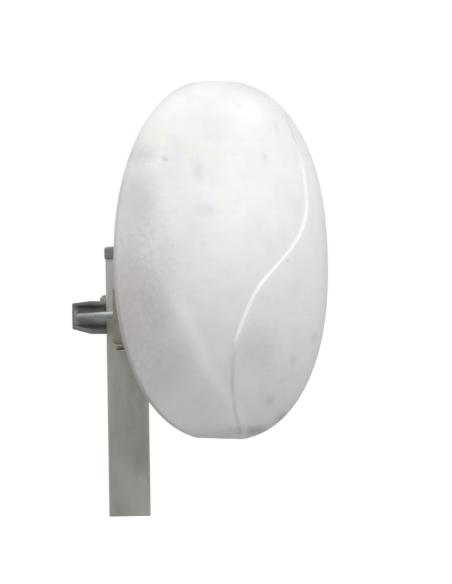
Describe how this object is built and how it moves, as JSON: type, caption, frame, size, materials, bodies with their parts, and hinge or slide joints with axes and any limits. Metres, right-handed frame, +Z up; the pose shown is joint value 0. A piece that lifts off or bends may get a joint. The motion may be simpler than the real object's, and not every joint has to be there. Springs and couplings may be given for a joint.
{
  "type": "flat outdoor television antenna on a mast stub",
  "caption": "Domed oval flat television antenna with an S-shaped moulded step, held by an arm and a zinc clamp on a short capped steel mast.",
  "frame": {"origin": "the middle of the wall of the mast's bottom ring, at the ring's front point, on the mast_foot face", "axes": "+Z up along the mast, -Y the way the antenna faces, +X to the right seen from the front"},
  "size_m": [0.3039, 0.2572, 0.4673],
  "materials": {
    "shell_plastic": "satin moulded, faintly grained",
    "arm_plastic": "satin moulded",
    "cap_plastic": "soft matte",
    "zinc_plate": "zinc plated and blue passivated",
    "stainless_steel": "bright turned",
    "mast_paint": "satin grey-beige paint",
    "nickel_plate": "bright nickel",
    "seal_rubber": "matte"
  },
  "bodies": {
    "root": {"front_shell": "shell_plastic", "back_cover": "shell_plastic", "cover_screw_1": "stainless_steel", "cover_screw_2": "stainless_steel", "cover_screw_3": "stainless_steel", "cover_screw_4": "stainless_steel", "cover_screw_5": "stainless_steel", "cover_screw_6": "stainless_steel", "cover_screw_7": "stainless_steel", "cover_screw_8": "stainless_steel", "mount_arm": "arm_plastic", "arm_screw_1": "stainless_steel", "arm_screw_2": "stainless_steel", "arm_screw_3": "stainless_steel", "arm_screw_4": "stainless_steel", "clamp_jaw": "zinc_plate", "clamp_screw_left": "zinc_plate", "clamp_screw_right": "zinc_plate", "earth_stud": "stainless_steel", "earth_washer": "zinc_plate", "earth_nut": "stainless_steel", "mast_tube": "mast_paint", "mast_cap": "cap_plastic", "socket_barrel": "nickel_plate", "socket_nut": "nickel_plate", "socket_ring": "seal_rubber"}
  },
  "joints": []
}
